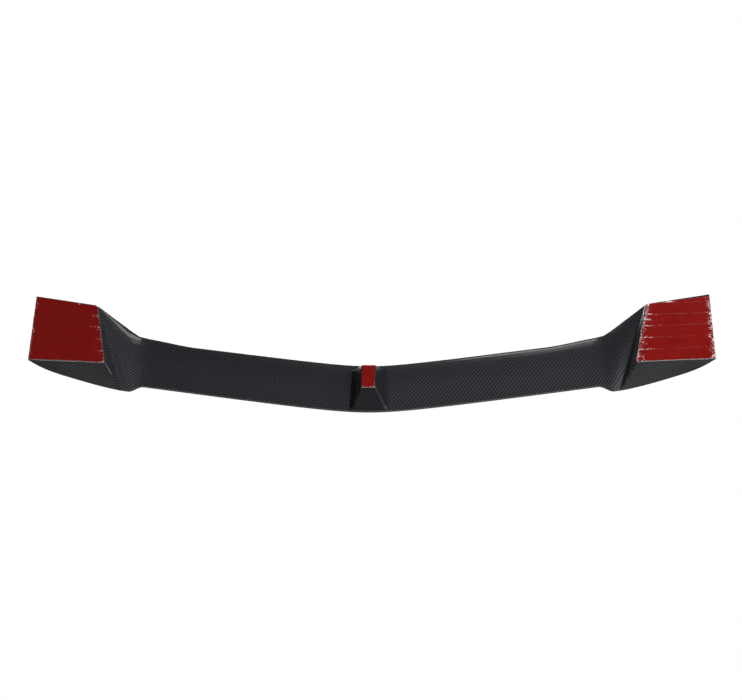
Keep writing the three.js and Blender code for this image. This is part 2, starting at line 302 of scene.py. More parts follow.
def carbon_material(name, bright, dark, shine=1.0):
    """Twill between two colours, a painted sheen and shade of the fibres, under a clear coat of the
    given shine.
    """
    tree = Tree(name)
    uv = tree.node("UVMap", {"uv_map": "cloth"})
    wander = tree.node("TexNoise", {"noise_dimensions": "2D"}, Scale=45.0, Detail=1.0)
    tree.links.new(uv.outputs[0], wander.inputs["Vector"])
    apart = tree.node("SeparateXYZ")
    tree.links.new(uv.outputs[0], apart.inputs[0])
    drift = Value(tree, wander.outputs["Fac"]) * WANDER
    along = Value(tree, apart.outputs[0]) * (1 / TOW) + drift
    down = Value(tree, apart.outputs[1]) * (1 / TOW) + drift
    warp_phase = (along.math("FLOOR") + down) % 4.0
    weft_phase = (along + down.math("FLOOR")) % 4.0
    warp_over = warp_phase < 2.0
    warp_crown = (along.math("FRACT") * np.pi).math("SINE")
    weft_crown = (down.math("FRACT") * np.pi).math("SINE")
    warp_height = (warp_phase * (np.pi / 2)).math("SINE").math("ABSOLUTE") * warp_crown
    weft_height = (weft_phase * (np.pi / 2)).math("SINE").math("ABSOLUTE") * weft_crown
    height = warp_over * warp_height + (1 - warp_over) * weft_height

    def fibres(across, lengthwise):
        """Noise drawn out along a tow, as its filaments are."""
        vector = tree.node("CombineXYZ", None, X=across * FIBRES_ACROSS, Y=lengthwise * FIBRES_ALONG)
        noise = tree.node("TexNoise", {"noise_dimensions": "2D"}, Scale=1.0, Detail=2.0)
        tree.links.new(vector.outputs[0], noise.inputs["Vector"])
        return Value(tree, noise.outputs["Fac"])

    streak = warp_over * fibres(along, down) + (1 - warp_over) * fibres(down, along)
    # Painted sheen and shade: lighter where the warp is on top and along streaks, darker where a tow
    # dips.
    shade = (0.35 + 0.65 * height) * (0.6 + 0.8 * streak)
    share = (warp_over * 0.88 + 0.12) * shade
    colour = tree.mix(share, (*dark, 1), (*bright, 1))
    return principled(
        tree,
        Base_Color=colour,
        Metallic=0.35,
        Roughness=0.36 + 0.16 * (1 - height),
        Normal=bump(tree, height + 0.25 * streak, 0.00018, 0.55),
        Specular_IOR_Level=0.5 * shine,
        Coat_Weight=shine,
        Coat_Roughness=0.13,
        Coat_IOR=1.5,
    )


carbon = carbon_material("carbon_twill", (0.077, 0.084, 0.096), (0.0012, 0.0015, 0.0021))
# Painted shade: the rear walls' copy of the skins' cloth has less coat, so it mirrors less and looks
# darker.
shaded_wall_carbon = carbon_material("carbon_rear_wall_shaded", (0.08, 0.085, 0.095), (0.0008, 0.001, 0.0015), 0.75)
post_carbon = carbon_material("carbon_post", (0.064, 0.069, 0.077), (0.0015, 0.002, 0.003), 0.15)
print("tow width", TOW, "pattern repeat", 4 * TOW)

# %% [markdown]
# ## Resin, foam tape and liner film
#
# The bond along the wing's nose is dark resin. The tape is pale closed-cell foam, and its liner is a
# glossy red film. The film's colour wanders a little, as the glue under it does. Where a crease has
# pulled the film off the glue it turns pale, which each film's own attribute tells. That pale is also
# a painted highlight, standing in for the glints on the creases and at the strips' ends.


# %% The plainer finishes
def resin_material():
    """Dark resin paste under a little coat, clouded by noise."""
    tree = Tree("bond_resin")
    place = tree.value("TexCoord", "Object")
    cloud = tree.value("TexNoise", "Fac", None, Vector=place, Scale=160.0, Detail=4.0)
    return principled(
        tree,
        Base_Color=tree.mix(cloud, (0.009, 0.01, 0.012, 1), (0.03, 0.032, 0.036, 1)),
        Roughness=0.16 + 0.2 * cloud,
        Normal=bump(tree, cloud, 0.0002, 0.4),
        Coat_Weight=0.8,
        Coat_Roughness=0.06,
    )


def foam_material(name, low, high, cell):
    """Foam between two colours, with so many cells to the metre."""
    tree = Tree(name)
    place = tree.value("TexCoord", "Object")
    cells = tree.value("TexVoronoi", "Distance", None, Vector=place, Scale=cell)
    cloud = tree.value("TexNoise", "Fac", None, Vector=place, Scale=cell / 9, Detail=3.0)
    return principled(
        tree,
        Base_Color=tree.mix(cloud, (*low, 1), (*high, 1)),
        Roughness=0.72 + 0.2 * cells,
        Normal=bump(tree, cells + cloud, 0.0002, 0.6),
    )


def liner_material():
    """Red film, mottled where stuck, pale where its attribute says it came away or paints a glint."""
    tree = Tree("liner_film")
    place = tree.value("TexCoord", "Object")
    blotch = tree.value("TexNoise", "Fac", None, Vector=place, Scale=38.0, Detail=3.0)
    grain = tree.value("TexNoise", "Fac", None, Vector=place, Scale=420.0, Detail=2.0)
    lifted = tree.value("Attribute", "Fac", {"attribute_name": "lifted"})
    stuck = tree.mix(blotch, (0.21, 0.0027, 0.0014, 1), (0.28, 0.007, 0.005, 1))
    return principled(
        tree,
        # Pale where the attribute says: partly film come off the glue, partly a painted highlight for
        # glints.
        Base_Color=tree.mix(lifted, stuck, (0.95, 0.78, 0.76, 1)),
        Roughness=0.16 + 0.14 * blotch,
        Normal=bump(tree, blotch * 2.0 + grain * 0.12, 0.0004, 0.35),
        Specular_IOR_Level=0.3,
        Coat_Weight=0.9,
        Coat_Roughness=0.04,
    )


resin = resin_material()
tape_foam = foam_material("tape_foam", (0.42, 0.41, 0.38), (0.6, 0.58, 0.55), 1800.0)
core_foam = foam_material("core_foam", (0.62, 0.55, 0.36), (0.78, 0.71, 0.5), 900.0)
liner = liner_material()
print("made", resin.name, tape_foam.name, core_foam.name, liner.name)

# %% [markdown]
# ## From a grid to a closed piece
#
# A moulding is a skin with a thickness. Each is made from two grids of points, one for its outer face
# and one for its inner face, joined round their rims, so the mesh is closed and has a true wall. Its
# faces are turned outwards by the sign of the volume they enclose.


# %% Closed shells from two grids
def grid_faces(rows, columns):
    """Quads of a grid whose point (i, j) has the number i * columns + j."""
    i, j = np.meshgrid(np.arange(rows - 1), np.arange(columns - 1), indexing="ij")
    a = (i * columns + j).ravel()
    return np.stack([a, a + columns, a + columns + 1, a + 1], axis=1)


def rim_numbers(rows, columns):
    """Numbers of the points round a grid's edge, in order."""
    top = np.arange(columns)
    right = np.arange(1, rows) * columns + columns - 1
    bottom = (rows - 1) * columns + np.arange(columns - 2, -1, -1)
    left = np.arange(rows - 2, 0, -1) * columns
    return np.concatenate([top, right, bottom, left])


def enclosed_volume(points, quads):
    """Sum of the signed volumes between each quad's two triangles and the origin."""
    p = points[quads]
    first = np.einsum("ij,ij->i", p[:, 0], np.cross(p[:, 1], p[:, 2]))
    second = np.einsum("ij,ij->i", p[:, 0], np.cross(p[:, 2], p[:, 3]))
    return (first + second).sum() / 6


def shell(name, outer, inner, material, cloth=None, bevel=0.0, sharp=35.0):
    """A closed mesh between two grids of points. cloth gives each grid point's place on the cloth."""
    rows, columns = outer.shape[:2]
    count = rows * columns
    points = np.concatenate([outer.reshape(-1, 3), inner.reshape(-1, 3)])
    face = grid_faces(rows, columns)
    rim = rim_numbers(rows, columns)
    ahead = np.roll(rim, -1)
    wall = np.stack([rim, ahead, ahead + count, rim + count], axis=1)
    quads = np.concatenate([face[:, ::-1], face + count, wall])
    if enclosed_volume(points, quads) < 0:
        quads = quads[:, ::-1]
    mesh = bpy.data.meshes.new(name)
    mesh.from_pydata(points.tolist(), [], quads.tolist())
    if cloth is not None:
        both = np.concatenate([cloth.reshape(-1, 2), cloth.reshape(-1, 2)])
        layer = mesh.uv_layers.new(name="cloth")
        layer.data.foreach_set("uv", both[quads.ravel()].astype(np.float32).ravel())
    mesh.validate()
    mesh.shade_smooth()
    mesh.set_sharp_from_angle(angle=np.radians(sharp))
    mesh.materials.append(material)
    piece = bpy.data.objects.new(name, mesh)
    scene.collection.objects.link(piece)
    if bevel:
        soften = piece.modifiers.new("edges", "BEVEL")
        soften.width = bevel
        soften.segments = 3
        soften.limit_method = "ANGLE"
        soften.angle_limit = np.radians(sharp)
    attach(piece, "root")
    print(name, rows, "x", columns, "points a face")
    return piece


# %% [markdown]
# ## The wing's shape
#
# The wing is measured by stations, lines from its leading edge to its trailing edge. Stations 0 to 1
# cross the blade, 1 to 2 the shoulder and 2 to 3 the foot, out to the tip. The sizes are those of the
# fixed model, and the places that can be read from it come from its boxes.

# %% Sizes, in metres
tape_low, tape_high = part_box("post_tape")

TIP = float(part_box("upper_skin")[1][0])
TAPE_BOTTOM = float(tape_low[2])
FACE = float(tape_high[2])  # height of the mouldings' sticking faces
LAMINATE = 0.0015
GLUE = 0.0003
EDGE_TOP = FACE + 2 * LAMINATE + GLUE
LEAD_AHEAD, CHORD = 0.051, 0.093
LEAD_SWEEP, LEAD_ROUND = 0.143, 0.060
TRAIL_SWEEP, TRAIL_ROUND = 0.149, 0.080
THICK, SHOULDER_THICK, TRAIL_THICK = 0.014, 0.008, 0.006
NOSE_HEIGHT = 0.050 + THICK / 2
TRAIL_HEIGHT = 0.060 + TRAIL_THICK / 2
NOSE_SHARE = 0.28
PAD_WIDTH, OUTER_RAKE, INNER_RAKE = 0.145, 0.004, 0.028
REAR_RAKE, FRONT_RAKE = 0.007, 0.021
WALL_LEAN, REAR_LEAN, REAR_BOW = 0.021, 0.026, 0.0045
SHOULDER_WIDTH, KNEE_RISE = 0.075, 0.0075
KNEE_BEND, WALL_BEND = 0.3, 0.05  # in shoulder widths, to either side of the blade's end and the wall
STEP_WIDTH, STEP_DEPTH = 0.041, 0.0135
KNEE_START, STEP_END = 0.75, 0.7  # shares of the blade and of the shoulder where those two shapes run
TAPE_WIDTH, TAPE_GAP, TAPE_MARGIN, WHOLE_STRIPS = 0.024, 0.0005, 0.00075, 5


# %% Plan of the wing
def ease(low, high, value):
    """Smooth step: 0 below low, 1 above high, and 3t^2 - 2t^3 between."""
    t = np.clip((value - low) / (high - low), 0, 1)
    return t * t * (3 - 2 * t)


def lead_y(x):
    """A hyperbola: straight sweep far out, rounded at the centre line."""
    return LEAD_AHEAD + LEAD_SWEEP * (np.hypot(x, LEAD_ROUND) - LEAD_ROUND)


def trail_y(x):
    """The trailing edge, a hyperbola of the same kind."""
    return LEAD_AHEAD - CHORD + TRAIL_SWEEP * (np.hypot(x, TRAIL_ROUND) - TRAIL_ROUND)


def bend(value, soft):
    """0 below zero and the value itself above it, with the bend rounded as a parabola over +-soft."""
    middle = (value + soft) ** 2 / (4 * soft)
    return np.where(value < -soft, 0, np.where(value > soft, value, middle))


PAD_OUTER = TIP - OUTER_RAKE
WALL_TOP = PAD_OUTER - PAD_WIDTH - WALL_LEAN
PAD_DEPTH = WHOLE_STRIPS * (TAPE_WIDTH + TAPE_GAP) - TAPE_GAP + 2 * TAPE_MARGIN
REAR_IN = np.array([PAD_OUTER - PAD_WIDTH, trail_y(WALL_TOP) - STEP_DEPTH + REAR_LEAN])
REAR_OUT = np.array([PAD_OUTER, REAR_IN[1] + REAR_RAKE])
FRONT_IN = np.array([REAR_IN[0] + INNER_RAKE, REAR_IN[1] + PAD_DEPTH])
FRONT_OUT = np.array([TIP, FRONT_IN[1] + FRONT_RAKE])
KNEE = FRONT_IN[0] - SHOULDER_WIDTH
STEP = WALL_TOP - STEP_WIDTH
print("knee", KNEE, "wall", WALL_TOP, "tip", TIP, "depth of a foot", PAD_DEPTH)


def mix(a, b, share):
    """The point at a share of the way from a to b."""
    return a + (b - a) * share


def section(place, chord):
    """Mean surface and half thickness at a station and a share of its chord, both as arrays.

    In plan a point lies on the straight line from the leading to the trailing edge. Its height climbs
    from one to the other, with the chord squared on the blade and evenly on the foot. The half
    thickness is a quarter ellipse over the nose and then runs out to the blunt rear by a cosine. The
    heights turn from the blade into the shoulder over a rounded bend, while the plan has a corner.
    """
    place, chord = np.broadcast_arrays(np.asarray(place, float), np.asarray(chord, float))
    side, size = np.sign(place), np.abs(place)
    blade = np.minimum(size, 1)
    shoulder = np.clip(size - 1, 0, 1)
    foot = np.clip(size - 2, 0, 1)
    past_knee = (size - 1) * np.where(size < 1, KNEE / SHOULDER_WIDTH, 1.0)
    drop = bend(past_knee, KNEE_BEND) - bend(size - 2, WALL_BEND)
    fall = np.cos(foot * np.pi / 2)
    lead_x = mix(mix(blade * KNEE, FRONT_IN[0], shoulder), FRONT_OUT[0], foot)
    knee_y = lead_y(blade * KNEE) + KNEE_RISE * ease(KNEE_START, 1, blade)
    lead_to = mix(mix(knee_y, FRONT_IN[1], shoulder), FRONT_OUT[1], foot)
    trail_x = mix(blade * STEP, WALL_TOP, shoulder)
    trail_to = trail_y(trail_x) - STEP_DEPTH * ease(0, STEP_END, shoulder)
    trail_to = mix(trail_to, REAR_OUT[1], foot) - REAR_BOW * np.sin(np.pi * foot**3)
    trail_x = mix(trail_x, REAR_OUT[0], foot)
    lead_z = mix(NOSE_HEIGHT, EDGE_TOP, drop)
    trail_z = mix(EDGE_TOP, TRAIL_HEIGHT, fall)
    thick = mix(THICK, SHOULDER_THICK, drop) * fall
    climb = mix(chord**2, chord, drop)
    run_out = np.clip((chord - NOSE_SHARE) / (1 - NOSE_SHARE), 0, 1)
    rear = (1 - np.cos(np.pi * run_out)) / 2
    nose = np.minimum(chord / NOSE_SHARE, 1)
    half = np.sqrt(1 - (1 - nose) ** 2) * mix(thick, TRAIL_THICK * fall, rear) / 2
    x = side * mix(lead_x, trail_x, chord)
    y = mix(lead_to, trail_to, chord)
    return np.stack([x, y, mix(lead_z, trail_z, climb)], axis=-1), half


CLOTH_TURN, CLOTH_FOLLOW = 0.038, 0.105  # how far the cloth is turned, and how far it follows the sweep
DRAPE = 0.5  # metres of cloth taken up for each metre of height


def cloth_at(points):
    """Place on the cloth: along and across it, after a turn that follows the sweep to either side.

    On its way down to the feet the skin takes up more cloth than its plan shows, so the distance from
    the centre line grows with the drop below the rear edge.
    """
    out, back = points[..., 0], points[..., 1] - LEAD_AHEAD + CHORD / 2
    side = out / np.hypot(out, TRAIL_ROUND)
    out = out + DRAPE * side * (TRAIL_HEIGHT - points[..., 2])
    turn = CLOTH_TURN + CLOTH_FOLLOW * side
    along = out * np.cos(turn) + back * np.sin(turn)
    return np.stack([along, back * np.cos(turn) - out * np.sin(turn)], axis=-1)


def raised(points, height):
    """Points moved up by a height each."""
    return points + height[..., None] * np.array([0.0, 0.0, 1.0])


def outline_normals(points):
    """Unit normals of a grid surface, from the cross product of its two directions."""
    across = np.gradient(points, axis=0)
    along = np.gradient(points, axis=1)
    normal = np.cross(across, along)
    length = np.linalg.norm(normal, axis=-1, keepdims=True)
    return normal / np.maximum(length, 1e-12)


def both_sides(places):
    """Stations of the left half, as negative places, followed by those of the right half."""
    return np.concatenate([-places[::-1], places[places > 0]])


NOSE_TURN = np.linspace(0, np.pi / 2, 19)  # angles round the nose's quarter ellipse
SEAM_STEPS = 4  # of them, covered by the resin seam
NOSE_STEPS = NOSE_SHARE * (1 - np.cos(NOSE_TURN))
NOSE_TIP = 0.0003  # share of the chord where the seam's own nose begins
CHORDS = np.concatenate([NOSE_STEPS[SEAM_STEPS:], np.linspace(NOSE_SHARE, 1, 27)[1:]])
SEAM_CHORDS = np.maximum(NOSE_STEPS[: SEAM_STEPS + 1], NOSE_TIP)
PLACES = np.concatenate([np.linspace(0, 1, 81), np.linspace(1, 2, 41)[1:], np.linspace(2, 3, 61)[1:]])

# %% [markdown]
# ## Upper skin
#
# The top moulding runs from tip to tip. Its outer face is the section's upper line, and its inner face
# lies one laminate below, so its edges show a real thickness where they meet the rest. A small bevel
# rounds those edges, as sanding and clear coat do.


# %% Upper skin
FOOT_START = 1.97  # from this place outwards the inner face may lie below the mean surface


def make_upper_skin():
    """Grids of the outer face, at the half thickness, and of the inner one, a laminate below it."""
    places = both_sides(PLACES)
    mean, half = section(places[:, None], CHORDS[None, :])
    outer = raised(mean, half)
    over_foot = ease(FOOT_START, 2.0, np.abs(places))[:, None]
    under = np.maximum(half - LAMINATE, GLUE / 2)
    inner = raised(mean, mix(under, half - LAMINATE, over_foot))
    piece = shell("upper_skin_moulding", outer, inner, carbon, cloth_at(outer), 0.0006)
    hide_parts("upper_skin")


make_upper_skin()

# %% [markdown]
# ## Underside, shoulders and inner walls
#
# This moulding is the wing's lower face. At each foot it turns down through a hollow fillet into the
# foot's inner wall, and then rolls under the tape through a small radius. A grid handles the turn when
# its rows follow the wall: past the blade's rows come the fillet's, as a Bezier curve between the two
# faces, and then the wall's, the radius's and the lip's.

# %% Shape of the wall's lines
BLADE_END = 1.86  # the place where the fillet's rows take over from the shoulder's
FILLET = 0.011
CORNER = 0.0045  # radius of the upright corner between the inner and the rear wall
ROLL = 0.0022  # radius under the walls, where the face turns flat
ROLL_SHARE = 0.4  # of a low wall's height
LIP = 0.004
WALL_DROP = 0.6  # share of the fillet's size that it takes from a low wall


def curve(p0, p1, p2, t):
    """A quadratic Bezier curve through arrays of points."""
    return (1 - t) ** 2 * p0 + 2 * t * (1 - t) * p1 + t**2 * p2


def wall_line(chord):
    """The inner wall's lower line, along the sticking face's inner edge, and its upper line."""
    plan = mix(FRONT_IN, REAR_IN, chord[:, None])
    low = np.column_stack([plan, np.full(len(chord), FACE)])
    mean, half = section(np.full(len(chord), 2.0), chord)
    return low, raised(mean, -half)


def rolled_edge(wall_from, foot, inward, steps):
    """Rows that leave a wall tangentially at its foot and turn flat under the sticking face.

    The turn is a Bezier curve whose middle point is the wall's foot, and the lip runs on inward. On a
    low wall the turn takes no more than a share of its height.
    """
    tall = np.linalg.norm(wall_from - foot, axis=-1, keepdims=True)
    size = np.minimum(ROLL, ROLL_SHARE * tall)
    start = foot + size * unit_rows(wall_from - foot)
    end = foot + size * inward
    turn = [curve(start, foot, end, t) for t in np.linspace(0, 1, steps)]
    return turn + [foot + (size + LIP) * inward]


def unit_rows(v):
    """Each row's vector divided by its length."""
    return v / np.maximum(np.linalg.norm(v, axis=-1, keepdims=True), 1e-9)


def inward_of(start, end):
    """The horizontal direction square to an edge of the sticking face, towards its middle."""
    along = unit(end - start)
    return np.array([-along[1], along[0], 0.0])


# %% Lower skin
def lower_rows():
    """Rows of the right half, from the centre line out to the lip under the foot.

    The fillet starts a quarter of the way from the blade's last row to the wall. Two rows lie before it
    and two after it, so that the straight stretches to either side keep their shape.
    """
    places = np.concatenate([np.linspace(0, 1, 81), np.linspace(1, BLADE_END, 35)[1:]])
    mean, half = section(places[:, None], CHORDS[None, :])
    rows = list(raised(mean, -half))
    last = rows[-1]
    corner_low, _ = wall_line(CHORDS * (1 - CORNER / PAD_DEPTH))
    _, corner_high = wall_line(CHORDS)
    height = (corner_high - corner_low)[:, 2:3]
    reach = np.minimum(FILLET, WALL_DROP * height)
    start = mix(corner_high, last, 0.75)
    down = corner_high + reach * unit_rows(corner_low - corner_high)
    rows += [mix(last, corner_high, t) for t in (0.08, 0.17)]
    rows += [curve(start, corner_high, down, t) for t in np.linspace(0, 1, 13)]
    turn = rolled_edge(corner_high, corner_low, inward_of(FRONT_IN, REAR_IN), 7)
    rows += [mix(down, turn[0], t) for t in (0.33, 0.66)]
    return rows + turn


def make_lower_skin():
    """The right half's rows and their mirror images, and an inner face a laminate inside them."""
    half_rows = np.array(lower_rows())
    mirror = half_rows[:0:-1] * np.array([-1.0, 1.0, 1.0])
    outer = np.concatenate([mirror, half_rows])
    normal = outline_normals(outer)
    normal *= np.where(normal[..., 2:3] > 0, 1, -1)
    inner = outer + LAMINATE * normal
    piece = shell("lower_skin_moulding", outer, inner, carbon, cloth_at(outer), 0.0004)
    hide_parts("lower_skin")


make_lower_skin()

# %% [markdown]
# ## Rear walls of the feet
#
# Behind each foot a wall leans back from the sticking face's rear edge up to the upper skin. It begins
# on the upright corner that it shares with the inner wall. That corner is rounded at its foot and
# sharpens towards its head, so it is ruled from a small curve below to a point above. The wall rolls
# under the tape through the same radius as the inner wall.


# %% Rear walls
def rear_wall_lines():
    """The wall's lower and upper lines and its inward directions, corner first."""
    along_inner = unit(FRONT_IN - REAR_IN)
    along_rear = unit(REAR_OUT - REAR_IN)
    corner_t = np.linspace(0, 1, 9)[:, None]
    arc = curve(REAR_IN + CORNER * along_inner, REAR_IN, REAR_IN + CORNER * along_rear, corner_t)
    run = np.linspace(0, 1, 70)[1:, None]
    low = np.concatenate([arc, mix(arc[-1], REAR_OUT, run)])
    low = np.column_stack([low, np.full(len(low), FACE)])
    head = CORNER / PAD_WIDTH / 2
    places = 2 + np.concatenate([corner_t[:, 0] * head, mix(head, 1, run[:, 0])])
    mean, half = section(places, np.ones(len(places)))
    high = raised(mean, half - LAMINATE - GLUE / 3)
    from_inner, from_rear = inward_of(FRONT_IN, REAR_IN), inward_of(REAR_IN, REAR_OUT)
    turned = np.concatenate([corner_t, np.ones_like(run)])
    return low, high, unit_rows(mix(from_inner, from_rear, turned))


def make_rear_wall(side, name):
    """Straight rows from the wall's head to its foot, then the rolled edge, and a laminate inside.

    The normals are turned into the foot. Where one would dip, the inner face goes straight inward
    instead, so that the wall doesn't fold under itself.
    """
    low, high, inward = rear_wall_lines()
    turn = rolled_edge(high, low, inward, 9)
    rows = [mix(high, turn[0], t) for t in np.linspace(0, 1, 12)[:-1]] + turn
    outer = np.array(rows)
    normal = outline_normals(outer)
    normal *= np.where((normal * inward).sum(-1, keepdims=True) > -0.2, 1, -1)
    inner = outer + LAMINATE * np.where(normal[..., 2:3] > -0.3, normal, inward)
    rise = np.linalg.norm(outer - low, axis=-1) * np.sign(outer[..., 2] - FACE + 1e-6)
    cloth = np.stack([side * outer[..., 0], -rise], axis=-1)
    flip = np.array([side, 1.0, 1.0])
    piece = shell(name + "_wall_moulding", outer * flip, inner * flip, shaded_wall_carbon, cloth, 0.0003)
    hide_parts(name)


make_rear_wall(1.0, "right_foot_rear_wall")
make_rear_wall(-1.0, "left_foot_rear_wall")

# %% [markdown]
# ## Seams
#
# The two mouldings are bonded with resin paste. It shows as a thin dark nose along the leading edge,
# and as a line between the skins along the blunt trailing edge.


# %% Nose seam and trailing seam
TAIL_CHORDS = np.linspace(0.9, 0.998, 8)


def make_seam(name, node, chords, spread):
    """A strip between the section's two faces, spread(half) from its mean surface to either side."""
    places = both_sides(PLACES[PLACES <= 2.0])
    mean, half = section(places[:, None], chords[None, :])
    upper, lower = raised(mean, spread(half)), raised(mean, -spread(half))
    piece = shell(name, upper, lower, resin, bevel=0.0002)
    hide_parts(node)


make_seam("nose_seam", "leading_edge_bond", SEAM_CHORDS, lambda half: half)
make_seam("tail_seam", "trailing_edge_bond", TAIL_CHORDS, lambda half: half - LAMINATE)

# %% [markdown]
# ## Foam in the blade
#
# Two blocks of foam fill the blade from the centre line out over the shoulders. They keep clear of the
# seams at the nose and the rear, and follow the skins' inner faces.


# %% Blade cores
CORE_PLACES, CORE_CHORDS = (0.002, 1.6), (0.13, 0.78)


def make_blade_core(side, node):
    """A block that fills the section to either side of its mean surface, less the skins."""
    start, stop = CORE_PLACES
    places = side * np.concatenate([np.linspace(start, 1, 60), np.linspace(1, stop, 25)[1:]])
    mean, half = section(places[:, None], np.linspace(*CORE_CHORDS, 30)[None, :])
    room = half - LAMINATE - GLUE
    piece = shell(node + "_foam", raised(mean, room), raised(mean, -room), core_foam)
    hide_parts(node)


make_blade_core(1.0, "right_blade_core")
make_blade_core(-1.0, "left_blade_core")

# %% [markdown]
# ## Centre post
#
# The post is a hollow pylon that widens upwards into the blade. It is lofted through rings. Each ring
# is a four-cornered outline with its corners rounded by Bezier curves, and near the blade the rings
# flare out, as a moulded fillet does. Their heights there follow the blade's underside.

# %% Post
POST_FACE = (0.027, 0.047)  # width and length of its sticking face
POST_ROOT_REAR, POST_ROOT_FRONT, POST_ROOT_LENGTH = 0.068, 0.056, 0.083
POST_FLARE, FLARE_START = 0.004, 0.86  # width of the flare, and the share of the height where it starts
POST_CORNERS = (0.003, 0.008)  # radius of the corners at the foot and at the root
POST_RISES = np.array([0.03, 0.12, 0.3, 0.5, 0.7, 0.82])  # shares of the height, below the flare
FOOT_ROUNDS = ((0.0016, 0.0022), (0.0005, 0.0028))  # insets and radii of the rings round its foot
ROOT_REAR_CLEAR, ROOT_FRONT_CLEAR, ROOT_GAP = 0.001, 0.004, 0.0001  # from the blade's edges and face
CLOTH_JOIN = 0.01  # half the width of the rear's middle, where the cloth's two halves meet


def underside(x, y):
    """Height of the blade's lower face above points near the centre line."""
    chord = (lead_y(x) - y) / (lead_y(x) - trail_y(x))
    mean, half = section(x / KNEE, chord)
    return mean[..., 2] - half


def rounded_outline(corners, radius):
    """A ring through four corners, each rounded by a Bezier curve, with points along its sides too."""
    pieces = []
    for k, corner in enumerate(corners):
        before, after = corners[k - 1], corners[(k + 1) % 4]
        start = corner + radius * unit(before - corner)
        end = corner + radius * unit(after - corner)
        pieces.append(curve(start, corner, end, np.linspace(0, 1, 9)[:, None]))
        stop = after + radius * unit(corner - after)
        pieces.append(mix(end, stop, np.linspace(0, 1, 14)[1:-1, None]))
    return np.concatenate(pieces)


def post_ring(rise, inset, radius):
    """The post's outline at a share of its height, drawn in by an inset."""
    width, length = POST_FACE
    rear = mix(width, POST_ROOT_REAR, rise) / 2 - inset
    front = mix(width, POST_ROOT_FRONT, rise) / 2 - inset
    reach = mix(length, POST_ROOT_LENGTH, rise) / 2 - inset
    corners = np.array([[-rear, -reach], [rear, -reach], [front, reach], [-front, reach]])
    plan = rounded_outline(corners, radius)
    plan[:, 1] = np.clip(plan[:, 1], -POST_ROOT_LENGTH / 2, POST_ROOT_LENGTH / 2)
    rearmost, foremost = trail_y(0) + ROOT_REAR_CLEAR, lead_y(0) - ROOT_FRONT_CLEAR
    below = underside(plan[:, 0], np.clip(plan[:, 1], rearmost, foremost))
    height = mix(FACE, below - ROOT_GAP, rise)
    return np.column_stack([plan, height])


def loft(name, rings, material):
    """A closed solid through a stack of rings, with a flat face at each end.

    Its cloth runs from the middle of the rear round both flanks, whose distance from the rear is added
    to the distance from the centre line. So it is only squeezed up at the front.
    """
    levels, count = rings.shape[:2]
    points = rings.reshape(-1, 3)
    here = np.arange(count)
    start = (np.arange(levels - 1) * count)[:, None]
    a, b = (start + here).ravel(), (start + (here + 1) % count).ravel()
    faces = np.stack([a, b, b + count, a + count], axis=1).tolist()
    faces += [here[::-1].tolist(), (here + (levels - 1) * count).tolist()]
    mesh = bpy.data.meshes.new(name)
    mesh.from_pydata(points.tolist(), [], faces)
    ahead = rings[..., 1] - rings[..., 1].min(axis=1, keepdims=True)
    around = rings[..., 0] + np.clip(rings[..., 0] / CLOTH_JOIN, -1, 1) * ahead
    cloth = np.stack([around, -rings[..., 2]], axis=-1).reshape(-1, 2)
    corner = np.empty(len(mesh.loops), np.int32)
    mesh.loops.foreach_get("vertex_index", corner)
    layer = mesh.uv_layers.new(name="cloth")
    layer.data.foreach_set("uv", cloth[corner].astype(np.float32).ravel())
    mesh.validate()
    mesh.shade_smooth()
    mesh.set_sharp_from_angle(angle=np.radians(40))
    mesh.materials.append(material)
    piece = bpy.data.objects.new(name, mesh)
    scene.collection.objects.link(piece)
    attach(piece, "root")
    print(name, levels, "rings of", count)
    return piece


def make_post():
    """Rings up the outside, flared by a parabola near the blade, and down again on the inside."""
    flare = np.linspace(FLARE_START, 1.0, 8)
    drawn = -POST_FLARE * ((flare - FLARE_START) / (1 - FLARE_START)) ** 2
    rings = [post_ring(0.0, inset, radius) for inset, radius in FOOT_ROUNDS]
    rings += [post_ring(r, 0.0, mix(*POST_CORNERS, r)) for r in POST_RISES]
    rings += [post_ring(r, d, mix(*POST_CORNERS, r)) for r, d in zip(flare, drawn)]
    rings += [post_ring(1.0, LAMINATE, 0.006), post_ring(0.06, LAMINATE, 0.002)]
    rings = np.array(rings)
    rings[1, :, 2] += GLUE
    piece = loft("post_moulding", rings, post_carbon)
    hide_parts("post_shell")


make_post()

# %% [markdown]
# ## Foam tape and its liners
#
# Tape is laid across each foot in whole strips, parallel to the rear edge, and a tapered piece fills
# the slanted front. Strips are cut by hand, so their ends are uneven. The film over the foam has been
# pressed down and picked at: it is creased near its ends, its long edges are drawn down a little, and
# air is trapped under it here and there. Each film is a fine grid whose height is worked out from
# those three effects. Creases are ridges, one minus the size of a sum of sine waves.

# %% Strips
PITCH = TAPE_WIDTH + TAPE_GAP
RIGHT_OF = unit(REAR_OUT - REAR_IN)
AHEAD_OF = np.array([-RIGHT_OF[1], RIGHT_OF[0]])
FRONT_IN_AT = np.array([(FRONT_IN - REAR_IN) @ RIGHT_OF, (FRONT_IN - REAR_IN) @ AHEAD_OF])
FRONT_OUT_AT = np.array([(FRONT_OUT - REAR_IN) @ RIGHT_OF, (FRONT_OUT - REAR_IN) @ AHEAD_OF])
REAR_OUT_AT = np.array([(REAR_OUT - REAR_IN) @ RIGHT_OF, 0.0])
FILM_OVERHANG, FOAM_INSET = 0.0002, 0.0003
TAPER_WIDTH = 0.002  # of the tapered strip, where it begins
WORN_SPREAD = 0.1  # of a strip's width, over which its cut corners are worn
END_REACHES, EDGE_REACH, RIM_REACHES = (0.01, 0.007), 0.0012, (0.0012, 0.0008)
CREASE_HEIGHT, EDGE_CREASE_HEIGHT, SWELL_HEIGHT = 0.0006, 0.0003, 0.00008
EDGE_SINK, BUBBLE_HEIGHT = 0.00022, 0.00014


